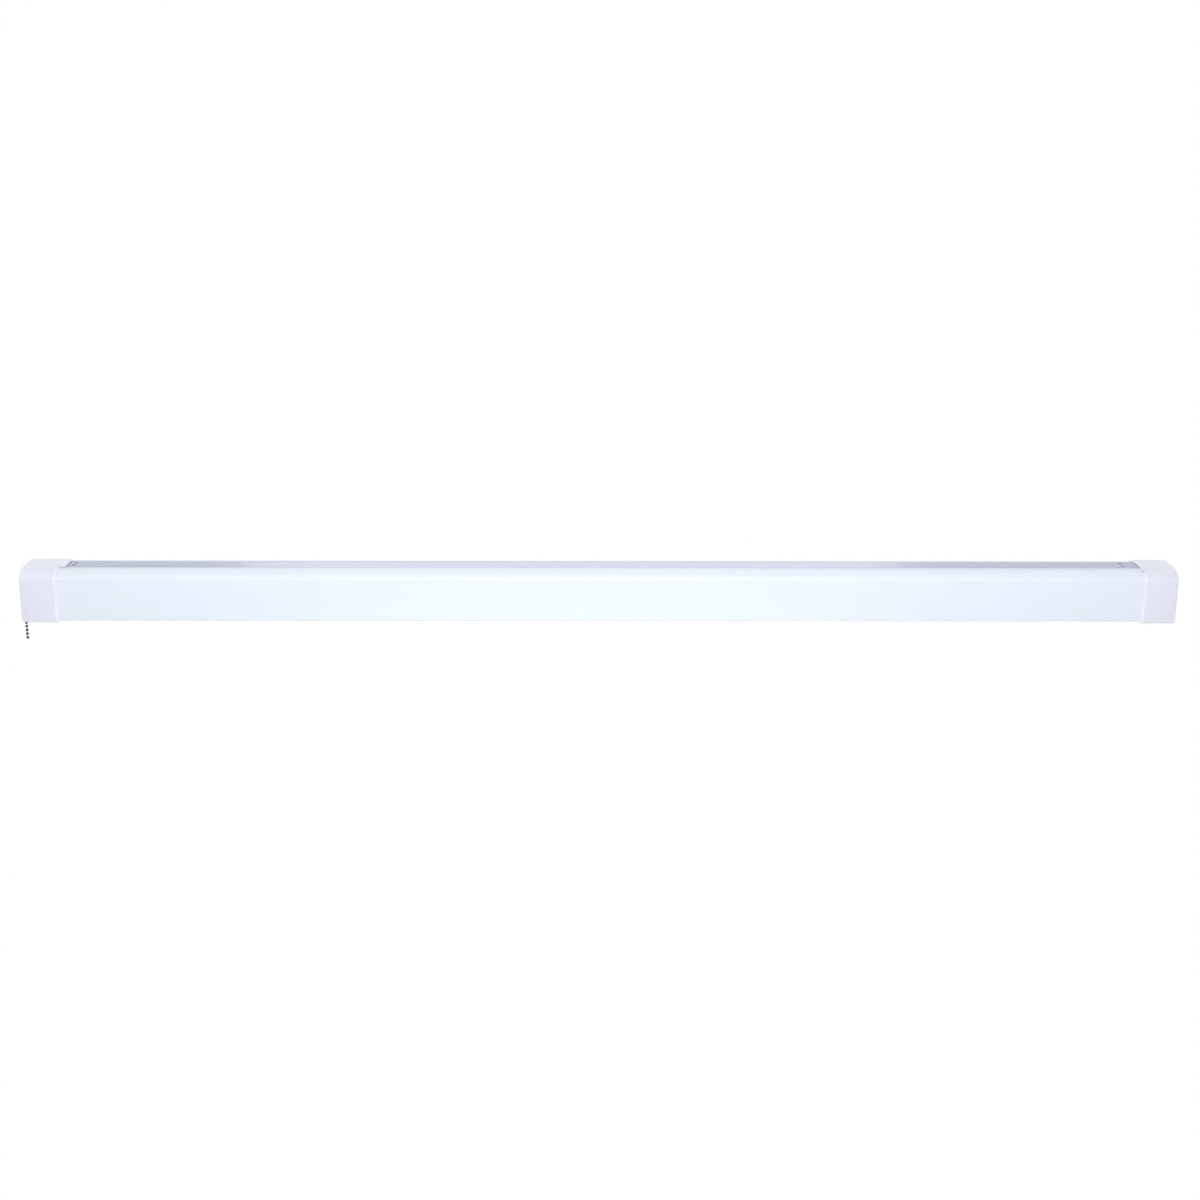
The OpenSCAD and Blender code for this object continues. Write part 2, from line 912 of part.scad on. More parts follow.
module driver_screws() {
    color("silver")
        for (x = ear_places())
            translate([x, 0, tray_top + case_sheet]) {
                cylinder(r = driver_screw_head, h = driver_screw_head_height);
                translate([0, 0, -case_sheet - tray_thickness + screw_end_gap])
                    cylinder(
                        r = driver_screw_radius,
                        h = case_sheet + tray_thickness - screw_end_gap + driver_screw_head_height / 2
                    );
            }
}

// ---------------------------------------------------------------------------
// Leads. Their routes are points between the pieces that they join.

module switch_lead_supply() {
    entry = switch_shift + lead_entry_y;
    // From the switch, along the channel and past the driver, to the splice beside the cord inlet
    color("black")
        lead([
            [switch_back - 2, entry, shaft_z + blade_z],
            [switch_back + 1, entry, shaft_z + blade_z],
            [switch_back + 2.6, entry, shaft_z + blade_z + 1.6],
            [switch_back + 3, entry, shaft_z + blade_z + 6],
            [switch_back + 3.6, lead_y + (entry - lead_y) / 3, lead_floor - 2.5],
            [switch_back + 5.5, lead_y, lead_floor - 0.4],
            [switch_back + 9, lead_y, lead_floor],
            [150, lead_y, lead_floor],
            [280, lead_y, lead_floor],
            [292, lead_y + 2, lead_floor + 1],
            [304, side_lane - 1, side_lane_z - 0.3],
            [314, side_lane, side_lane_z],
            [530, side_lane, side_lane_z],
            [540, side_lane - 1.2, side_lane_z + 2],
            [550, splice_place[1] + 6, splice_place[2] - 5],
            [558, splice_place[1] + 2, splice_place[2] - 1],
            splice_place,
            splice_place + [6, 0, 0]
        ], lead_radius, lead_sides);
}

module switch_lead_driver() {
    entry = switch_shift - lead_entry_y;
    // From the switch to the input terminals of the driver
    color("black")
        lead([
            [switch_back - 2, entry, shaft_z - blade_z],
            [switch_back + 1, entry, shaft_z - blade_z],
            [switch_back + 2.6, entry - 0.3, shaft_z - blade_z + 1.6],
            [switch_back + 3, entry - 2.5, shaft_z - blade_z + 8],
            [switch_back + 3.6, (entry - 5 - 2 * lead_y) / 3, lead_floor - 2.5],
            [switch_back + 5.5, -lead_y + 0.6, lead_floor - 0.4],
            [switch_back + 9, -lead_y, lead_floor],
            [150, -lead_y, lead_floor],
            [250, -lead_y, lead_floor],
            [268, -8, lead_floor + 2],
            [290, -5, terminal_z - 2],
            [306, -terminal_pitch, terminal_z],
            [driver_left + terminal_inset + 5, -terminal_pitch, terminal_z]
        ], lead_radius, lead_sides);
}

module led_lead(side) {
    // From the output terminals, down through the tray and back to the first board
    lead([
        [driver_right - terminal_inset - 5, side * terminal_pitch, terminal_z],
        [driver_right + 6, side * terminal_pitch, terminal_z],
        [lead_drop_x - 16, side * 3.4, terminal_z - 1.5],
        [lead_drop_x - 6, side * 2.2, terminal_z - 5],
        [lead_drop_x - 0.6, side * 2, tray_top + 2.5],
        [lead_drop_x, side * 2, tray_top],
        [lead_drop_x, side * 2, tray_bottom - 0.6],
        [lead_drop_x - 1, side * 2, board_bottom - 1.2],
        [lead_drop_x - 3, side * 2, board_bottom - connector_size[2] / 2],
        [board_gap / 2 + board_length - connector_inset, side * 2, board_bottom - connector_size[2] / 2]
    ], thin_lead_radius, lead_sides);
}

module led_lead_positive() {
    color("red")
        led_lead(1);
}

module led_lead_negative() {
    color("dimgray")
        led_lead(-1);
}

module wire_clips() {
    color("white")
        for (x = clip_places)
            difference() {
                block(
                    [x - clip_length / 2, -lead_y - lead_radius - clip_wall, tray_top],
                    [
                        x + clip_length / 2,
                        lead_y + lead_radius + clip_wall,
                        lead_floor + lead_radius + clip_wall
                    ]
                );
                for (side = [-1, 1])
                    bar_x(
                        x - clip_length / 2 - beyond, x + clip_length / 2 + beyond,
                        side * lead_y, lead_floor, lead_radius + lead_hole_gap
                    );
                // The bridge between the two saddles is thin
                block(
                    [x - clip_length / 2 - beyond, -lead_y + lead_radius + clip_wall, tray_top + clip_wall],
                    [
                        x + clip_length / 2 + beyond,
                        lead_y - lead_radius - clip_wall,
                        lead_floor + lead_radius + clip_wall + beyond
                    ]
                );
            }
}

module splice_nut() {
    color("orange")
        translate(splice_place)
            rotate([0, 90, 0])
                rotate_extrude()
                    polygon([
                        [lead_radius + lead_hole_gap, 0], [splice_radius, 0], [splice_skirt, 2],
                        [splice_tip, splice_length], [0, splice_length],
                        [0, splice_depth], [lead_radius + lead_hole_gap, splice_depth]
                    ]);
}

module ground_screw() {
    // The screw, with the ring of the ground lead under its head
    shank = tray_thickness + ground_screw_tail;
    color("limegreen")
        translate([ground_place[0], ground_place[1], tray_top]) {
            difference() {
                cylinder(r = ring_radius, h = ring_wall);
                translate([0, 0, -beyond])
                    cylinder(r = driver_screw_radius + ring_gap, h = ring_wall + 2 * beyond);
            }
            translate([0, 0, ring_wall])
                cylinder(r = driver_screw_head, h = driver_screw_head_height);
            translate([0, 0, -shank])
                cylinder(r = driver_screw_radius, h = shank + ring_wall + driver_screw_head_height / 2);
        }
}

module ground_lead() {
    // From the output side of the driver to the ring under the ground screw
    color("green")
        lead([
            [driver_right - terminal_inset - 5, 0, terminal_z],
            [driver_right + 2, 0, terminal_z],
            [driver_right + 9, 1, terminal_z + 2],
            [driver_right + 16, 4, terminal_z + 3.4],
            [driver_right + 24, 8, terminal_z + 1.8],
            [driver_right + 31, 9.5, terminal_z - 2.2],
            [driver_right + 38, 9.5, terminal_z - 6.2],
            [ground_place[0] - 14, 9.2, tray_top + 1.7],
            [ground_place[0] - 6, ground_place[1], tray_top + thin_lead_radius + 0.1],
            [ground_place[0] - 3.7, ground_place[1], tray_top + thin_lead_radius + 0.1]
        ], thin_lead_radius, lead_sides);
}

module inlet_bushing() {
    sleeve = inlet_bore_radius + bushing_wall;
    barb = cap_end_wall + hole_gap;
    color("dimgray")
        translate([half_length, 0, switch_z])
            rotate([0, 90, 0])
                rotate_extrude()
                    polygon([
                        [inlet_bore_radius, 1.5], [inlet_bore_radius, -barb - 3], [sleeve, -barb - 3],
                        [sleeve + 0.6, -barb], [sleeve, -barb], [sleeve, 0], [sleeve + 2.2, 0],
                        [sleeve + 2.2, 0.9], [sleeve + 1.6, 1.5]
                    ]);
}

// ---------------------------------------------------------------------------
// Switch

module switch_base() {
    inner_low = [switch_front + switch_wall, -switch_half_width + switch_wall, switch_bottom + switch_wall];
    color("saddlebrown")
        at_switch()
            difference() {
                union() {
                    difference() {
                        block(
                            [switch_front, -switch_half_width, switch_bottom],
                            [switch_back, switch_half_width - switch_cover_wall, switch_top]
                        );
                        block(
                            inner_low,
                            [switch_back - switch_wall, switch_half_width, switch_top - switch_wall]
                        );
                    }
                    for (place = [rivet_low, rivet_high])
                        bar_y(
                            -switch_half_width + switch_wall / 2, switch_half_width - switch_cover_wall,
                            place[0], place[1], post_radius
                        );
                }
                for (place = [rivet_low, rivet_high])
                    bar_y(
                        -switch_half_width - beyond, switch_half_width,
                        place[0], place[1], rivet_radius + hole_gap
                    );
                bar_x(
                    switch_front - beyond, switch_front + switch_wall + beyond,
                    0, switch_z, ferrule_radius + hole_gap
                );
                bar_y(-switch_half_width - beyond, 0, shaft_x, shaft_z, shaft_radius + shaft_gap);
                for (side = [-1, 1])
                    bar_x(
                        switch_back - switch_wall - beyond, switch_back + beyond,
                        side * lead_entry_y, shaft_z + side * blade_z, lead_radius + lead_hole_gap
                    );
            }
}

module switch_cover() {
    color("peru")
        at_switch()
            difference() {
                block(
                    [switch_front, switch_half_width - switch_cover_wall, switch_bottom],
                    [switch_back, switch_half_width, switch_top]
                );
                for (place = [rivet_low, rivet_high])
                    bar_y(0, switch_half_width + beyond, place[0], place[1], rivet_radius + hole_gap);
                bar_y(0, switch_half_width + beyond, shaft_x, shaft_z, shaft_radius + shaft_gap);
            }
}

module switch_rivets() {
    color("gold")
        at_switch()
            for (place = [rivet_low, rivet_high]) {
                bar_y(
                    -switch_half_width - rivet_head_height / 2, switch_half_width + rivet_head_height / 2,
                    place[0], place[1], rivet_radius
                );
                bar_y(
                    -switch_half_width - rivet_head_height, -switch_half_width,
                    place[0], place[1], rivet_head
                );
                bar_y(
                    switch_half_width, switch_half_width + rivet_head_height,
                    place[0], place[1], rivet_head
                );
            }
}

module switch_ferrule() {
    inner = cap_end_wall + switch_wall;
    color("gold")
        at_switch()
            turned_out(-half_length, switch_z)
                difference() {
                    union() {
                        translate([0, -inner - ferrule_flange])
                            square([ferrule_radius, inner + ferrule_flange + ferrule_stand]);
                        translate([0, -inner - ferrule_flange])
                            square([ferrule_flange_radius, ferrule_flange]);
                    }
                    translate([-beyond, -inner - ferrule_flange - beyond])
                        square([chain_bore + beyond, inner + ferrule_flange + ferrule_stand + 2 * beyond]);
                }
}

module ferrule_washer() {
    color("lightgray")
        at_switch()
            turned_out(-half_length, switch_z)
                translate([ferrule_radius + hole_gap, 0])
                    square([washer_radius - ferrule_radius - hole_gap, washer_wall]);
}

module bell_mouth() {
    // The flare is a quarter of a ring, centred where the chain turns
    flare = bend_radius - chain_bore;
    depth = -half_length - washer_wall - bend_x;
    color("silver")
        at_switch()
            difference() {
                turned_out(bend_x, switch_z) {
                    difference() {
                        translate([chain_bore, -depth])
                            square([bell_nut_radius - chain_bore, depth]);
                        translate([0, -depth - beyond])
                            square([ferrule_radius + thread_gap, depth + beyond - bell_plate]);
                    }
                    intersection() {
                        translate([bend_radius, 0])
                            difference() {
                                circle(r = flare);
                                circle(r = flare - bell_wall);
                            }
                        translate([0, -bell_plate / 2])
                            square([bend_radius, flare + beyond]);
                    }
                }
                // Grooves that give the fingers a hold
                for (i = [0 : nut_grooves - 1])
                    bar_x(
                        bend_x + bell_plate / 2, bend_x + depth + beyond,
                        bell_nut_radius * cos(360 * i / nut_grooves),
                        switch_z + bell_nut_radius * sin(360 * i / nut_grooves), nut_groove_radius
                    );
            }
}

module switch_shaft() {
    color("silver")
        at_switch()
            bar_y(-switch_half_width, switch_half_width, shaft_x, shaft_z, shaft_radius);
}

module switch_spring() {
    // Torsion spring round the shaft, as it lies at full pull
    turns = 4;
    per_turn = 10;
    wire = 0.35;
    pitch = 1.15;
    coil = 2.7;
    start = -lever_half_width - 0.7 - wire;
    helix = [
        for (i = [0 : turns * per_turn])
            let (a = 90 + 360 * i / per_turn)
                [shaft_x + coil * cos(a), start - pitch * i / per_turn, shaft_z + coil * sin(a)]
    ];
    color("silver")
        at_switch()
            lead(helix, wire, 6);
}

module switch_contacts() {
    blade_y = rotor_front + rotor_wall + contact_sheet + contact_gap;
    tab_x = switch_back - switch_wall - tab_setback;
    color("gold")
        at_switch()
            for (side = [-1, 1]) {
                block(
                    [shaft_x + blade_reach, blade_y, shaft_z + side * blade_z - blade_height / 2],
                    [tab_x, blade_y + contact_sheet, shaft_z + side * blade_z + blade_height / 2]
                );
                tab_low = side * lead_entry_y - tab_half;
                block(
                    [tab_x - contact_sheet, tab_low, shaft_z + side * blade_z - blade_height / 2],
                    [tab_x, blade_y + contact_sheet, shaft_z + side * blade_z + blade_height / 2]
                );
            }
}

module switch_lever() {
    color("goldenrod")
        at_switch()
            translate([shaft_x, 0, shaft_z])
                rotate([0, lever_tilt, 0])
                    difference() {
                        union() {
                            bar_y(-lever_half_width, lever_half_width, 0, 0, lever_hub_radius);
                            block(
                                [-lever_sheet / 2, -lever_half_width, 0],
                                [lever_sheet / 2, lever_half_width, lever_length + bead_radius]
                            );
                        }
                        bar_y(
                            -lever_half_width - beyond, lever_half_width + beyond,
                            0, 0, shaft_radius + shaft_gap
                        );
                        block(
                            [-beyond, -lever_slot, lever_length - lever_slot_depth],
                            [beyond, lever_slot, lever_length + bead_radius + beyond]
                        );
                    }
}

module switch_rotor() {
    color("ivory")
        at_switch()
            difference() {
                bar_y(rotor_front, rotor_front + rotor_wall, shaft_x, shaft_z, rotor_radius);
                bar_y(
                    rotor_front - beyond, rotor_front + rotor_wall + beyond,
                    shaft_x, shaft_z, shaft_radius + shaft_gap
                );
            }
}

module rotor_contact() {
    color("gold")
        at_switch()
            difference() {
                block(
                    [shaft_x - contact_half[0], rotor_front + rotor_wall, shaft_z - contact_half[1]],
                    [
                        shaft_x + contact_half[0],
                        rotor_front + rotor_wall + contact_sheet,
                        shaft_z + contact_half[1]
                    ]
                );
                bar_y(rotor_front, switch_half_width, shaft_x, shaft_z, shaft_radius + shaft_gap);
            }
}

// ---------------------------------------------------------------------------
// Pull chain. Hollow beads are held together by links, each a wire with a head inside
// either bead. Directions in the X-Z plane are angles from +X towards +Z.

// A hollow bead whose two holes face each other along one direction
module bead(x, z, way) {
    translate([x, switch_shift, z])
        rotate([0, 90 - way, 0])
            rotate_extrude()
                intersection() {
                    difference() {
                        circle(r = bead_radius);
                        circle(r = bead_radius - bead_shell);
                    }
                    translate([bead_hole_radius, -bead_radius])
                        square([bead_radius, 2 * bead_radius]);
                }
}

// A hollow bead beside a link that turns: its holes don't face each other, and the
// seam of its spheres lies midway between them
module turning_bead(x, z, first_hole, second_hole) {
    seam = (first_hole + second_hole) / 2;
    translate([x, switch_shift, z])
        difference() {
            rotate([0, -seam, 0])
                rotate([90, 0, 0])
                    difference() {
                        sphere(r = bead_radius);
                        sphere(r = bead_radius - bead_shell);
                    }
            for (way = [first_hole, second_hole])
                rotate([0, 90 - way, 0])
                    cylinder(r = bead_hole_radius, h = bead_radius + beyond);
        }
}

// A link that starts inside the bead at x, z and runs one way
module link(x, z, way, inset) {
    translate([x, switch_shift, z])
        rotate([0, 90 - way, 0])
            translate([0, 0, inset]) {
                sphere(r = head_radius);
                cylinder(r = rod_radius, h = link_length);
                translate([0, 0, link_length])
                    sphere(r = head_radius);
            }
}

function inner_x(i) = bend_x + i * chain_pitch;
function hanging_z(i) = bend_z - i * chain_pitch;
hanging_x = bend_x - bend_radius;
turned_x = bend_x - bend_radius * sin(bend_step);
turned_z = bend_z + bend_radius * cos(bend_step);

module chain_inner_beads() {
    color("dimgray") {
        turning_bead(inner_x(1), switch_z, 0, 180 + hole_lead);
        for (i = [2 : inner_beads])
            bead(inner_x(i), switch_z, 180);
    }
}

module chain_inner_links() {
    color("gray")
        for (i = [2 : inner_beads])
            link(inner_x(i), switch_z, 180, head_inset);
}

module chain_entry_link() {
    color("gray")
        link(inner_x(1), switch_z, 180, head_inset);
}

module chain_bend_beads() {
    color("dimgray") {
        turning_bead(bend_x, switch_z, -bend_hole_lead, 180 + bend_step / 2);
        turning_bead(turned_x, turned_z, bend_step / 2, 270 - bend_step + bend_hole_lead);
    }
}

module chain_bend_link() {
    color("gray")
        link(bend_x, switch_z, 180 + bend_step / 2, (bend_chord - link_length) / 2);
}

module chain_exit_link() {
    color("gray")
        link(hanging_x, bend_z, 90 - link_turn, head_inset);
}

module chain_top_bead() {
    color("dimgray")
        turning_bead(hanging_x, bend_z, 90 - hole_lead, 270);
}

module chain_second_link() {
    color("gray")
        link(hanging_x, hanging_z(0), 270, head_inset);
}

module chain_second_bead() {
    color("dimgray")
        bead(hanging_x, hanging_z(1), 270);
}

module chain_lower_links() {
    color("gray")
        for (i = [1 : hanging_beads - 2])
            link(hanging_x, hanging_z(i), 270, head_inset);
}

module chain_lower_beads() {
    color("dimgray")
        for (i = [2 : hanging_beads - 1])
            bead(hanging_x, hanging_z(i), 270);
}

// ---------------------------------------------------------------------------

housing();
lens();
left_end_cap();
right_end_cap();
cap_screws();
led_tray();
led_boards();
light_sources();
board_screws();
board_connectors();
board_jumpers();
driver_case();
driver_lid();
driver_board();
driver_capacitors();
driver_transformer();
driver_choke();
driver_terminals();
driver_screws();
switch_lead_supply();
switch_lead_driver();
led_lead_positive();
led_lead_negative();
wire_clips();
splice_nut();
ground_screw();
ground_lead();
inlet_bushing();
switch_base();
switch_cover();
switch_rivets();
switch_ferrule();
ferrule_washer();
bell_mouth();
switch_shaft();
switch_spring();
switch_contacts();
switch_lever();
switch_rotor();
rotor_contact();
chain_inner_beads();
chain_inner_links();
chain_entry_link();
chain_bend_beads();
chain_bend_link();
chain_exit_link();
chain_top_bead();
chain_second_link();
chain_second_bead();
chain_lower_links();
chain_lower_beads();
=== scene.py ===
"""Looks of a hanging shop light: camera, materials, smooth shading, floor and lights.

Every visible piece is a CAD node. The scene adds no piece of its own.
"""
import json
import math

import bmesh
import bpy
from mathutils import Matrix, Vector

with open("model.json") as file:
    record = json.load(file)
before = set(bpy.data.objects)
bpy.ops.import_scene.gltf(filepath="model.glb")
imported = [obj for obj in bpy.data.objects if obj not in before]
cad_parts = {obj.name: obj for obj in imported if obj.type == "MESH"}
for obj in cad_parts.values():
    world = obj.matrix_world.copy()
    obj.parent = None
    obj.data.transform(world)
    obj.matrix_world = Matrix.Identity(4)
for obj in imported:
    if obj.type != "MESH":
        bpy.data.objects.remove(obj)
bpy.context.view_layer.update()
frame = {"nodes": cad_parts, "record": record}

# ---------------------------------------------------------------------------
# Camera. The photograph looks slightly down on the front, from a little left of the middle.

DISTANCE = 1.777
ELEVATION = math.radians(16.11)
AIM = Vector((-0.0408, -0.036, -0.0294))
SCALE = 1.0511e-3        # metres in one pixel of the 1200 pixel picture, at the aim point
PICTURE = 1200
PRINCIPAL = 560          # pixel column that the camera looks straight at
ROLL = 0.0010            # radians
SENSOR = 36              # millimetres
VIEW_LIMIT = 100         # metres

camera_data = bpy.data.cameras.new("camera")
camera_data.sensor_width = SENSOR
camera_data.lens = SENSOR * DISTANCE / (SCALE * PICTURE)
camera_data.shift_x = (PICTURE / 2 - PRINCIPAL) / PICTURE
camera_data.clip_end = VIEW_LIMIT
camera = bpy.data.objects.new("camera", camera_data)
bpy.context.scene.collection.objects.link(camera)
back = Vector((0, -math.cos(ELEVATION), math.sin(ELEVATION)))
camera.location = AIM + back * DISTANCE
camera.rotation_mode = "QUATERNION"
camera.rotation_quaternion = (
    (-back).to_track_quat("-Z", "Y").to_matrix() @ Matrix.Rotation(ROLL, 3, "Z")
).to_quaternion()
bpy.context.scene.camera = camera
bpy.context.scene.view_settings.view_transform = "Standard"

# ---------------------------------------------------------------------------
# Node helpers

NOISE_ROUGHNESS = 0.55


def node_of_type(tree, kind):
    return next(node for node in tree.nodes if node.type == kind)


def new_material(name):
    material = bpy.data.materials.new(name)
    material.use_nodes = True
    tree = material.node_tree
    return material, tree, node_of_type(tree, "BSDF_PRINCIPLED")


def add(tree, kind, **attributes):
    node = tree.nodes.new(kind)
    for key, value in attributes.items():
        setattr(node, key, value)
    return node


def color_mix(tree, **attributes):
    """A colour mix node, with its two colour inputs and its colour output."""
    node = add(tree, "ShaderNodeMix", data_type="RGBA", **attributes)
    colors = [socket for socket in node.inputs if socket.type == "RGBA"]
    return node, colors, next(socket for socket in node.outputs if socket.type == "RGBA")


def per_axis(value):
    """One number stands for the same number along X, Y and Z."""
    return value if isinstance(value, tuple) else (value, value, value)


def noise(tree, scale, detail):
    """Noise over the object's own place; scale is features per metre."""
    place = add(tree, "ShaderNodeTexCoord")
    mapping = add(tree, "ShaderNodeMapping")
    mapping.inputs["Scale"].default_value = per_axis(scale)
    tree.links.new(place.outputs["Object"], mapping.inputs["Vector"])
    node = add(tree, "ShaderNodeTexNoise")
    node.inputs["Scale"].default_value = 1.0
    node.inputs["Detail"].default_value = detail
    node.inputs["Roughness"].default_value = NOISE_ROUGHNESS
    tree.links.new(mapping.outputs["Vector"], node.inputs["Vector"])
    return node.outputs["Fac"]


def ramp(tree, factor, low, high, start=0.3, end=0.7):
    """Goes from low to high while the factor goes from start to end."""
    node = add(tree, "ShaderNodeMapRange")
    node.inputs["From Min"].default_value = start
    node.inputs["From Max"].default_value = end
    node.inputs["To Min"].default_value = low
    node.inputs["To Max"].default_value = high
    tree.links.new(factor, node.inputs["Value"])
    return node.outputs["Result"]


def mix(tree, factor, first, second):
    """Mixes two fixed colours."""
    node, colors, result = color_mix(tree)
    for socket, color in zip(colors, (first, second)):
        socket.default_value = (*color, 1)
    tree.links.new(factor, node.inputs["Factor"])
    return result


def shade(color, amount):
    return tuple(max(0.0, min(1.0, c * amount)) for c in color)


def bump(tree, shader, heights):
    """Chains bumps: each entry is a height socket, its depth in metres and its strength."""
    normal = None
    for height, depth, strength in heights:
        node = add(tree, "ShaderNodeBump")
        node.inputs["Strength"].default_value = strength
        node.inputs["Distance"].default_value = depth
        tree.links.new(height, node.inputs["Height"])
        if normal is not None:
            tree.links.new(normal, node.inputs["Normal"])
        normal = node.outputs["Normal"]
    tree.links.new(normal, shader.inputs["Normal"])


# ---------------------------------------------------------------------------
# Materials

PATCH_DETAIL = 2.0
GRAIN_DETAIL = 4.0
FINE_DETAIL = 3.0
GRAIN_SHARE = 0.4        # how much of the colour is the grain's, the rest being the slow patches'
GRAIN_RANGE = (0.35, 0.65)
GRAIN_STRENGTH = 0.6
FINE_STRENGTH = 0.5
INDEX = 1.5              # of refraction


def finish_material(
    name, color, roughness, metallic=0.0, *, grain, grain_depth, spread, patches=9,
    spread_rough=0.06, coat=0.0, coat_roughness=0.1, second=None, fine=None,
):
    """A surface of one kind: slow patches of tone, its own grain, and a roughness that varies.

    The grain, the patches and the first value of fine are features per metre. The grain's depth
    and the second value of fine are in metres.
    """
    material, tree, shader = new_material(name)
    darker = shade(color, 1 - spread)
    lighter = shade(color, 1 + spread)
    slow = noise(tree, patches, PATCH_DETAIL)
    grains = noise(tree, grain, GRAIN_DETAIL)
    tone = mix(tree, ramp(tree, slow, 0, 1), darker, second or lighter)
    speck = mix(tree, ramp(tree, grains, 0, 1, *GRAIN_RANGE), darker, lighter)
    half, colors, result = color_mix(tree)
    half.inputs["Factor"].default_value = GRAIN_SHARE
    tree.links.new(tone, colors[0])
    tree.links.new(speck, colors[1])
    tree.links.new(result, shader.inputs["Base Color"])
    tree.links.new(
        ramp(tree, grains, roughness - spread_rough, roughness + spread_rough),
        shader.inputs["Roughness"],
    )
    heights = [(grains, grain_depth, GRAIN_STRENGTH)]
    if fine:
        heights.append((noise(tree, fine[0], FINE_DETAIL), fine[1], FINE_STRENGTH))
    bump(tree, shader, heights)
    shader.inputs["Metallic"].default_value = metallic
    shader.inputs["IOR"].default_value = INDEX
    shader.inputs["Coat Weight"].default_value = coat
    shader.inputs["Coat Roughness"].default_value = coat_roughness
    return material


# Colour, roughness and, for metals, how metallic. Three numbers for grain, patches or fine are
# along X, Y and Z; a low first number draws them out along the lamp.
LOOKS = {
    "cap_plastic": ((0.820, 0.831, 0.936), 0.32, dict(
        grain=1800, grain_depth=1.2e-5, spread=0.012, patches=14, fine=(5200, 5e-6))),
    "lens_plastic": ((0.806, 0.858, 0.942), 0.46, dict(
        grain=(6, 1500, 1500), grain_depth=7e-6, spread=0.008, patches=(3, 16, 16),
        spread_rough=0.03, coat=0.12, coat_roughness=0.16, fine=((3, 420, 420), 1.2e-5))),
    # housing_paint is much darker than the housing's white paint: a painted reflection of dark
    # surroundings on the top strip
    "housing_paint": ((0.385, 0.425, 0.585), 0.28, dict(
        grain=2600, grain_depth=8e-6, spread=0.02, patches=(4, 20, 20),
        coat=0.2, coat_roughness=0.15, fine=(900, 6e-6))),
    "aluminium": ((0.78, 0.79, 0.80), 0.34, dict(
        metallic=1.0, grain=(12, 3000, 3000), grain_depth=6e-6, spread=0.06)),
    "board_mask": ((0.86, 0.86, 0.84), 0.32, dict(
        grain=700, grain_depth=4e-6, spread=0.02)),
    "phosphor": ((0.86, 0.66, 0.16), 0.38, dict(
        grain=3000, grain_depth=5e-6, spread=0.08)),
    "steel": ((0.62, 0.63, 0.65), 0.28, dict(
        metallic=1.0, grain=1500, grain_depth=5e-6, spread=0.10, second=(0.70, 0.70, 0.66))),
    "white_nylon": ((0.80, 0.79, 0.75), 0.42, dict(
        grain=1200, grain_depth=8e-6, spread=0.03)),
    "green_board": ((0.02, 0.12, 0.05), 0.25, dict(
        grain=400, grain_depth=6e-6, spread=0.25)),
    "dark_sleeve": ((0.02, 0.02, 0.04), 0.28, dict(
        grain=900, grain_depth=6e-6, spread=0.2)),
    "ferrite": ((0.035, 0.033, 0.032), 0.55, dict(
        grain=1600, grain_depth=2e-5, spread=0.25)),
    "copper": ((0.60, 0.22, 0.09), 0.30, dict(
        metallic=1.0, grain=(200, 200, 1900), grain_depth=8e-5, spread=0.15)),
    "black_lead": ((0.012, 0.012, 0.014), 0.40, dict(
        grain=(300, 1200, 1200), grain_depth=1e-5, spread=0.2)),
    "red_lead": ((0.38, 0.012, 0.01), 0.38, dict(
        grain=(300, 1200, 1200), grain_depth=1e-5, spread=0.1)),
    "grey_lead": ((0.06, 0.06, 0.065), 0.40, dict(
        grain=(300, 1200, 1200), grain_depth=1e-5, spread=0.1)),
    "green_lead": ((0.01, 0.15, 0.03), 0.38, dict(
        grain=(300, 1200, 1200), grain_depth=1e-5, spread=0.1)),
    "orange_plastic": ((0.75, 0.19, 0.01), 0.36, dict(
        grain=(250, 1500, 1500), grain_depth=3e-5, spread=0.06)),
    "green_steel": ((0.05, 0.22, 0.07), 0.32, dict(
        metallic=0.6, grain=1500, grain_depth=6e-6, spread=0.12)),
    "grey_nylon": ((0.075, 0.078, 0.085), 0.44, dict(
        grain=2200, grain_depth=1.2e-5, spread=0.08)),
    "phenolic": ((0.055, 0.022, 0.011), 0.36, dict(
        grain=1400, grain_depth=1.2e-5, spread=0.2, second=(0.085, 0.036, 0.018))),
    "brass": ((0.72, 0.52, 0.22), 0.26, dict(
        metallic=1.0, grain=(2600, 900, 900), grain_depth=6e-6, spread=0.1)),
    "bell_nickel": ((0.58, 0.57, 0.55), 0.20, dict(
        metallic=1.0, grain=(2400, 700, 700), grain_depth=4e-6, spread=0.08)),
    "chain_nickel": ((0.072, 0.072, 0.078), 0.26, dict(
        metallic=1.0, grain=1800, grain_depth=6e-6, spread=0.16, patches=260)),
    "chain_wire": ((0.050, 0.050, 0.054), 0.28, dict(
        metallic=1.0, grain=3000, grain_depth=4e-6, spread=0.12)),
}
materials = {
    name: finish_material(name, color, roughness, **rest)
    for name, (color, roughness, rest) in LOOKS.items()
}

# ---------------------------------------------------------------------------
# Painted shade on the lens, in metres from the middle of the hanger holes

PAINTED_SHADE_EDGE = 0.0128    # from the middle plane: painted shade where the opaque housing and hooks lie behind the lens
PAINTED_SHADE_END = 0.0195     # no painted shade from here on, where nothing lies behind the lens
PAINTED_SHADE_LOWEST = -0.02   # painted shade on its top only, where they lie behind it
PAINTED_SHADE_AMOUNT = 0.30
PAINTED_SHADE_COLOR = (0.30, 0.36, 0.50)
# A dark spot of painted shade on the lens, in the right cap's notch
NOTCH = (0.5748, -0.0220, -0.0035)
NOTCH_SHADE_RADIUS = 0.0024
NOTCH_SHADE_CORE = 0.6         # share of the radius that is fully dark with painted shade
NOTCH_SHADE_COLOR = (0.10, 0.12, 0.18)


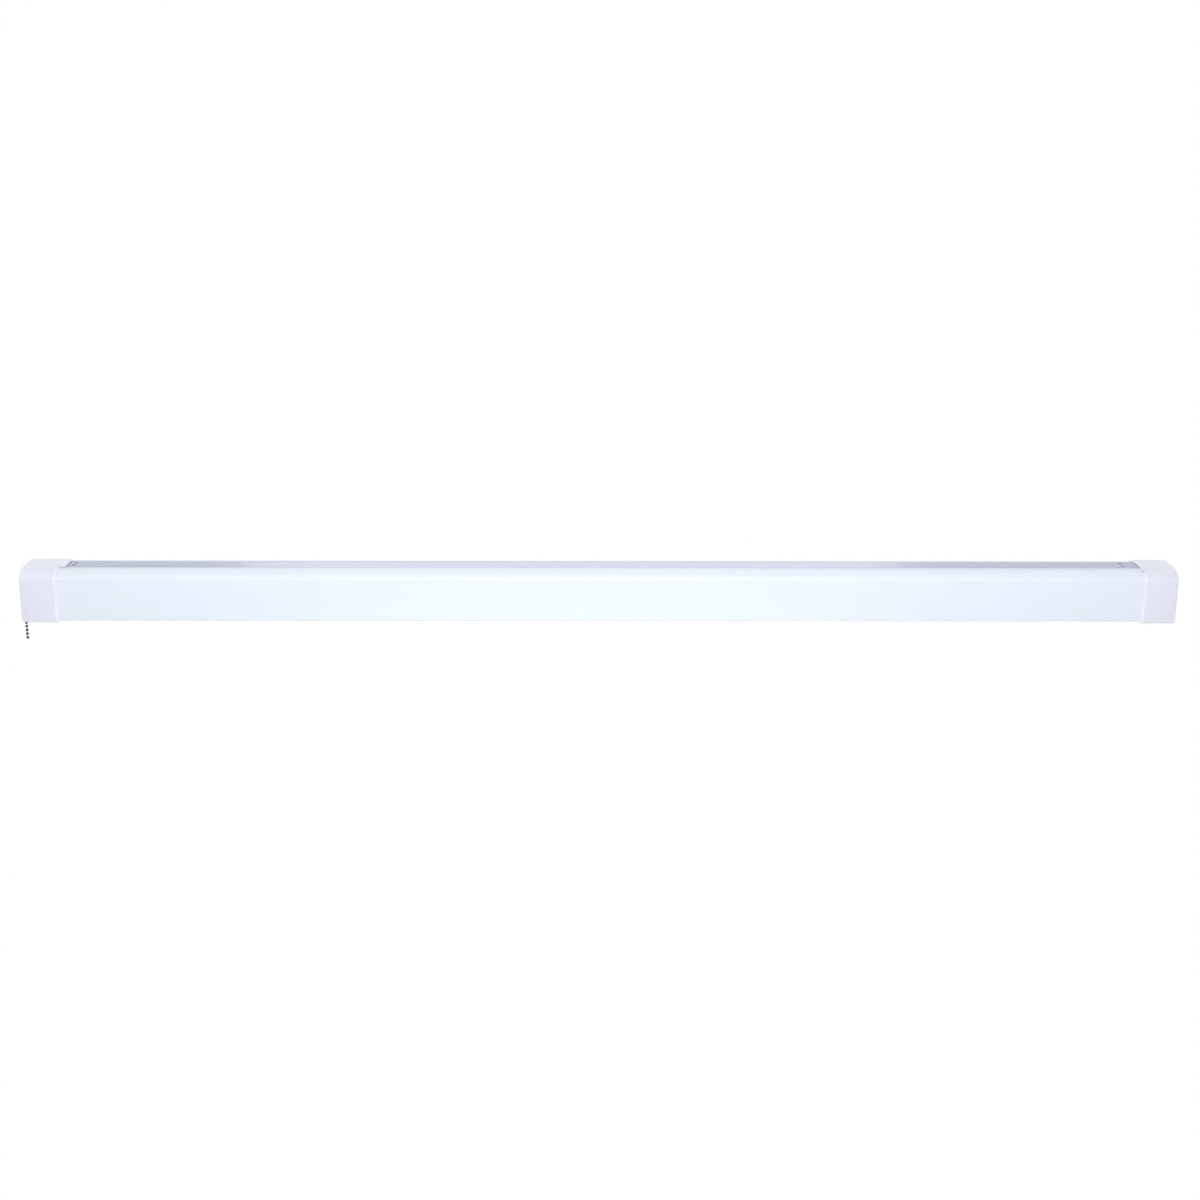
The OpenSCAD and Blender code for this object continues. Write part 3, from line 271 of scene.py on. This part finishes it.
def near_point(tree, point, radius):
    """One at a point of the lamp and nothing from a radius on."""
    place = add(tree, "ShaderNodeTexCoord")
    away = add(tree, "ShaderNodeVectorMath", operation="DISTANCE")
    tree.links.new(place.outputs["Object"], away.inputs[0])
    away.inputs[1].default_value = point
    return ramp(tree, away.outputs["Value"], 1.0, 0.0, radius * NOTCH_SHADE_CORE, radius)


def near_middle(tree, edge, end, amount, lowest):
    """An amount near the lamp's middle plane and nothing from the end on or at a lower place."""
    place = add(tree, "ShaderNodeTexCoord")
    parts = add(tree, "ShaderNodeSeparateXYZ")
    tree.links.new(place.outputs["Object"], parts.inputs["Vector"])
    away = add(tree, "ShaderNodeMath", operation="ABSOLUTE")
    tree.links.new(parts.outputs["Y"], away.inputs[0])
    high = add(tree, "ShaderNodeMath", operation="GREATER_THAN")
    high.inputs[1].default_value = lowest
    tree.links.new(parts.outputs["Z"], high.inputs[0])
    both = add(tree, "ShaderNodeMath", operation="MULTIPLY")
    tree.links.new(ramp(tree, away.outputs[0], amount, 0.0, edge, end), both.inputs[0])
    tree.links.new(high.outputs[0], both.inputs[1])
    return both.outputs[0]


def tint(material, factor, color):
    """Multiplies the colour by another one, as far as the factor says."""
    tree = material.node_tree
    target = node_of_type(tree, "BSDF_PRINCIPLED").inputs["Base Color"]
    source = target.links[0].from_socket
    node, colors, result = color_mix(tree, blend_type="MULTIPLY")
    tree.links.new(factor, node.inputs["Factor"])
    tree.links.new(source, colors[0])
    colors[1].default_value = (*color, 1)
    tree.links.new(result, target)


lens = materials["lens_plastic"]
# Painted shade on the top of the lens near its middle plane
painted_shade = near_middle(lens.node_tree, PAINTED_SHADE_EDGE, PAINTED_SHADE_END, PAINTED_SHADE_AMOUNT, PAINTED_SHADE_LOWEST)
tint(lens, painted_shade, PAINTED_SHADE_COLOR)
# A dark spot of painted shade in the right cap's notch
tint(lens, near_point(lens.node_tree, NOTCH, NOTCH_SHADE_RADIUS), NOTCH_SHADE_COLOR)

for entry in frame["record"]["subparts"]:
    mesh = frame["nodes"][entry["node"]].data
    mesh.materials.clear()
    mesh.materials.append(materials[entry["material_slot"]])

# ---------------------------------------------------------------------------
# Shading: every piece is shaded smooth, except at edges sharper than an angle

SMOOTH_ANGLE = math.radians(27)
WELD = 2e-6              # metres

smooth_group = bpy.data.node_groups.new("smooth_by_angle", "GeometryNodeTree")
interface = smooth_group.interface
interface.new_socket("Geometry", in_out="INPUT", socket_type="NodeSocketGeometry")
angle_socket = interface.new_socket("Angle", in_out="INPUT", socket_type="NodeSocketFloat")
interface.new_socket("Geometry", in_out="OUTPUT", socket_type="NodeSocketGeometry")
given = smooth_group.nodes.new("NodeGroupInput")
result = smooth_group.nodes.new("NodeGroupOutput")
weld = smooth_group.nodes.new("GeometryNodeMergeByDistance")
weld.inputs["Distance"].default_value = WELD
faces = smooth_group.nodes.new("GeometryNodeSetShadeSmooth")
faces.domain = "FACE"
edges = smooth_group.nodes.new("GeometryNodeSetShadeSmooth")
edges.domain = "EDGE"
edges.inputs["Shade Smooth"].default_value = False
angle = smooth_group.nodes.new("GeometryNodeInputMeshEdgeAngle")
sharper = smooth_group.nodes.new("FunctionNodeCompare")
sharper.operation = "GREATER_THAN"
join = smooth_group.links.new
join(given.outputs[0], weld.inputs["Geometry"])
join(weld.outputs[0], faces.inputs["Geometry"])
join(faces.outputs[0], edges.inputs["Geometry"])
join(angle.outputs["Unsigned Angle"], sharper.inputs[0])
join(given.outputs[1], sharper.inputs[1])
join(sharper.outputs[0], edges.inputs["Selection"])
join(edges.outputs[0], result.inputs[0])

for obj in frame["nodes"].values():
    modifier = obj.modifiers.new("smooth", "NODES")
    modifier.node_group = smooth_group
    modifier[angle_socket.identifier] = SMOOTH_ANGLE

# ---------------------------------------------------------------------------
# Floor and background

WORLD_COLOR = (0.97, 0.985, 1.0, 1)
WORLD_STRENGTH = 0.40
FLOOR_COLOR = (0.86, 0.86, 0.87, 1)
FLOOR_ROUGHNESS = 0.8
FLOOR_HEIGHT = -1.9
FLOOR_HALF = 7
FLOOR_CELLS = 12


def white_to_view(tree, surface, output):
    """Shows white to the camera, in reflections and through glass, and the surface to light."""
    path = add(tree, "ShaderNodeLightPath")
    emission = add(tree, "ShaderNodeEmission")
    emission.inputs["Color"].default_value = (1, 1, 1, 1)
    emission.inputs["Strength"].default_value = 1.0
    seen = add(tree, "ShaderNodeMath", operation="MAXIMUM")
    seen_or_through = add(tree, "ShaderNodeMath", operation="MAXIMUM")
    tree.links.new(path.outputs["Is Camera Ray"], seen.inputs[0])
    tree.links.new(path.outputs["Is Glossy Ray"], seen.inputs[1])
    tree.links.new(seen.outputs[0], seen_or_through.inputs[0])
    tree.links.new(path.outputs["Is Transmission Ray"], seen_or_through.inputs[1])
    blend = add(tree, "ShaderNodeMixShader")
    tree.links.new(seen_or_through.outputs[0], blend.inputs[0])
    tree.links.new(surface, blend.inputs[1])
    tree.links.new(emission.outputs[0], blend.inputs[2])
    tree.links.new(blend.outputs[0], node_of_type(tree, output).inputs["Surface"])


world = bpy.data.worlds.new("world")
world.use_nodes = True
bpy.context.scene.world = world
background = node_of_type(world.node_tree, "BACKGROUND")
background.inputs["Color"].default_value = WORLD_COLOR
background.inputs["Strength"].default_value = WORLD_STRENGTH
white_to_view(world.node_tree, background.outputs[0], "OUTPUT_WORLD")

floor_mesh = bpy.data.meshes.new("floor")
builder = bmesh.new()
bmesh.ops.create_grid(
    builder, x_segments=FLOOR_CELLS, y_segments=FLOOR_CELLS, size=FLOOR_HALF)
builder.to_mesh(floor_mesh)
builder.free()
floor = bpy.data.objects.new("floor", floor_mesh)
floor.location = (0, 0, FLOOR_HEIGHT)
bpy.context.scene.collection.objects.link(floor)
floor_material, floor_tree, floor_shader = new_material("floor")
floor_shader.inputs["Base Color"].default_value = FLOOR_COLOR
floor_shader.inputs["Roughness"].default_value = FLOOR_ROUGHNESS
white_to_view(floor_tree, floor_shader.outputs[0], "OUTPUT_MATERIAL")
floor_mesh.materials.append(floor_material)

# ---------------------------------------------------------------------------
# Lights. Each has a name, its place, the point that it faces, its size in metres and its watts.

SOFT_BOXES = [
    ("key", (0.0, -1.25, 0.95), (0, 0, -0.03), (1.15, 0.5), 11.0),
    ("fill", (0.0, -1.15, -0.95), (0, 0, -0.03), (0.9, 0.5), 9.5),
    # Long, for an even line along the shoulder of the lens
    ("top", (-0.16, -0.25, 1.50), (-0.16, 0, 0), (2.3, 0.4), 8.8),
    # Mirrored by the top strip, which is bright in the middle and darker at its ends
    ("back", (-0.02, 1.35, 0.55), (-0.02, 0, 0), (1.26, 0.45), 2.0),
    # For the other sides
    ("rear", (0.0, 1.30, -0.55), (0, 0, -0.03), (1.4, 0.5), 7.5),
    ("left", (-1.70, 0.22, 0.00), (-0.6, 0, -0.03), (0.5, 0.5), 3.6),
    ("right", (1.70, 0.22, 0.00), (0.6, 0, -0.03), (0.5, 0.5), 3.6),
]

for name, place, target, size, power in SOFT_BOXES:
    data = bpy.data.lights.new(name, "AREA")
    data.shape = "RECTANGLE"
    data.size, data.size_y = size
    data.energy = power
    lamp = bpy.data.objects.new(name, data)
    lamp.location = place
    lamp.rotation_mode = "QUATERNION"
    lamp.rotation_quaternion = (Vector(target) - Vector(place)).to_track_quat("-Z", "Y")
    bpy.context.scene.collection.objects.link(lamp)
